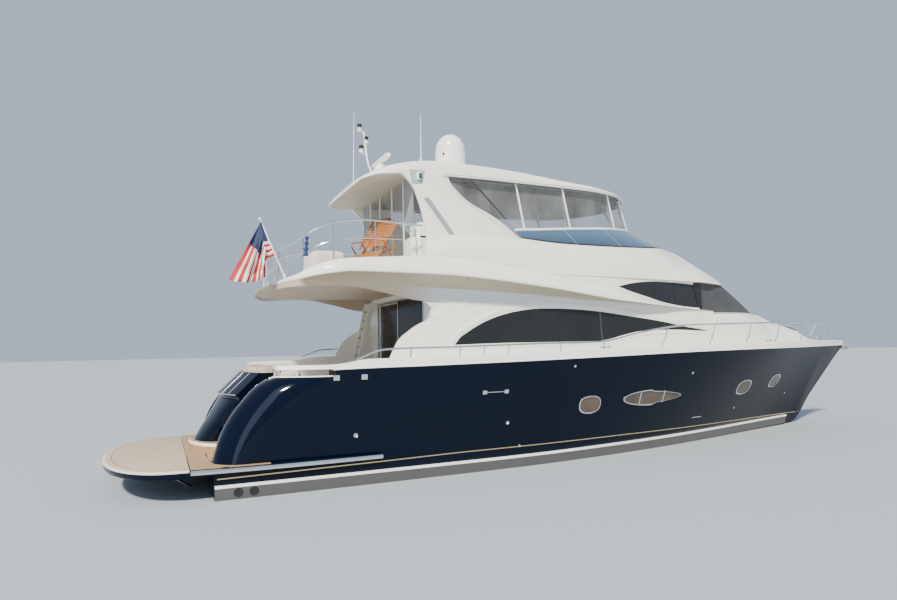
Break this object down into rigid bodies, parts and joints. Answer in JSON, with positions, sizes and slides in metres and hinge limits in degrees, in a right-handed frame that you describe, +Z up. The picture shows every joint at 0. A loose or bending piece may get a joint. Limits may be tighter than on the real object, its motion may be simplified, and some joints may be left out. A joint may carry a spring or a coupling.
{
  "type": "flybridge motor yacht",
  "caption": "Flybridge motor yacht afloat, with a decked hull, lift platform, salon, pilothouse, hardtop, radar and turning propellers and rudders.",
  "frame": {"origin": "on the centreline at the waterline, amidships", "axes": "+X towards the bow, +Y to port, +Z up"},
  "size_m": [23.41, 5.5, 10.4603],
  "materials": {
    "navy": "polished dark gelcoat",
    "gelcoat": "gloss warm white gelcoat",
    "lining": "satin beige moulding",
    "teak": "oiled planking",
    "weathered_teak": "weathered planking",
    "steel": "polished stainless",
    "bronze": "underwater bronze",
    "dark_glass": "dark tinted",
    "blue_glass": "blue tinted",
    "clear_panel": "clear flexible sheet",
    "mesh_cover": "woven mesh",
    "cushion": "cream marine vinyl and canvas",
    "engine_paint": "satin enamel",
    "flag_cloth": "sewn woven cloth"
  },
  "bodies": {
    "yacht": {"hull": "navy", "engine_stb": "engine_paint", "engine_port": "engine_paint", "spray_rail_stb": "steel", "spray_rail_port": "steel", "shaft_stb": "bronze", "shaft_port": "bronze", "hull_side_stb": "navy", "hull_side_port": "navy", "main_deck": "gelcoat", "side_deck_stb": "gelcoat", "side_deck_port": "gelcoat", "swim_platform": "teak", "transom_pod": "navy", "lift_brackets": "steel", "cockpit_settee": "cushion", "fly_stairs": "lining", "deckhouse_side_stb": "gelcoat", "deckhouse_side_port": "gelcoat", "salon_glass_stb": "dark_glass", "salon_glass_port": "dark_glass", "aft_bulkhead": "gelcoat", "foredeck_trunk": "gelcoat", "pilothouse_side_stb": "gelcoat", "pilothouse_side_port": "gelcoat", "pilothouse_glass_stb": "dark_glass", "pilothouse_glass_port": "dark_glass", "windshield": "mesh_cover", "flybridge_deck": "gelcoat", "fly_coaming": "gelcoat", "fly_windscreen": "blue_glass", "enclosure_frame": "gelcoat", "enclosure_panels": "clear_panel", "hardtop": "gelcoat", "satellite_dome": "gelcoat", "light_mast": "gelcoat", "whip_port": "gelcoat", "helm_console": "gelcoat", "helm_seats": "cushion", "wet_bar": "gelcoat", "covered_locker": "cushion", "deck_chairs": "teak", "fly_rail": "steel", "deck_rail_stb": "steel", "deck_rail_port": "steel", "bow_rail": "steel", "anchor": "steel", "ensign_staff": "gelcoat", "ensign": "flag_cloth"},
    "propeller_stb": {"propeller_stb": "bronze"},
    "propeller_port": {"propeller_port": "bronze"},
    "rudder_stb": {"rudder_stb": "bronze"},
    "rudder_port": {"rudder_port": "bronze"},
    "lift_arms": {"lift_arms": "steel"},
    "lift_platform": {"lift_platform": "weathered_teak"},
    "locker_lid": {"locker_lid": "navy"},
    "salon_door": {"salon_door": "dark_glass"},
    "foredeck_hatch": {"foredeck_hatch": "dark_glass"},
    "sunroof_panel": {"sunroof_panel": "gelcoat"},
    "radar_array": {"radar_array": "gelcoat"}
  },
  "joints": [
    {"name": "propeller_stb_spin", "type": "hinge", "parent": "yacht", "child": "propeller_stb", "pos_m": [-8.65, -1.05, -1.05], "axis": [0.9903, 0, 0.1392], "continuous": true},
    {"name": "propeller_port_spin", "type": "hinge", "parent": "yacht", "child": "propeller_port", "pos_m": [-8.65, 1.05, -1.05], "axis": [0.9903, 0, 0.1392], "continuous": true},
    {"name": "rudder_stb_turn", "type": "hinge", "parent": "yacht", "child": "rudder_stb", "pos_m": [-9.02, -1.05, -0.7], "axis": [0, 0, 1], "range_deg": [-35, 35]},
    {"name": "rudder_port_turn", "type": "hinge", "parent": "yacht", "child": "rudder_port", "pos_m": [-9.02, 1.05, -0.7], "axis": [0, 0, 1], "range_deg": [-35, 35]},
    {"name": "lift_arms_swing", "type": "hinge", "parent": "yacht", "child": "lift_arms", "pos_m": [-9.33, 0, -0.19], "axis": [0, -1, 0], "range_deg": [0, 55]},
    {"name": "lift_platform_level", "type": "hinge", "parent": "lift_arms", "child": "lift_platform", "pos_m": [-9.98532, 0, 0.26886], "axis": [0, 1, 0], "range_deg": [0, 55]},
    {"name": "locker_lid_open", "type": "hinge", "parent": "yacht", "child": "locker_lid", "pos_m": [-8.11, 0, 2.295], "axis": [0, 1, 0], "range_deg": [0, 75]},
    {"name": "salon_door_slide", "type": "slide", "parent": "yacht", "child": "salon_door", "axis": [0, -1, 0], "range_m": [0, 1.4]},
    {"name": "foredeck_hatch_open", "type": "hinge", "parent": "yacht", "child": "foredeck_hatch", "pos_m": [9.4, 0, 3.037], "axis": [0, 1, 0], "range_deg": [0, 75]},
    {"name": "sunroof_tilt", "type": "hinge", "parent": "yacht", "child": "sunroof_panel", "pos_m": [-1.02, 0, 7.012], "axis": [0, 1, 0], "range_deg": [0, 20]},
    {"name": "radar_spin", "type": "hinge", "parent": "yacht", "child": "radar_array", "pos_m": [-5.02, 0.25, 7.28], "axis": [0, 0, 1], "continuous": true}
  ],
  "couplings": [
    {"joint": "rudder_port_turn", "follows": "rudder_stb_turn", "ratio": 1},
    {"joint": "lift_platform_level", "follows": "lift_arms_swing", "ratio": 1}
  ]
}
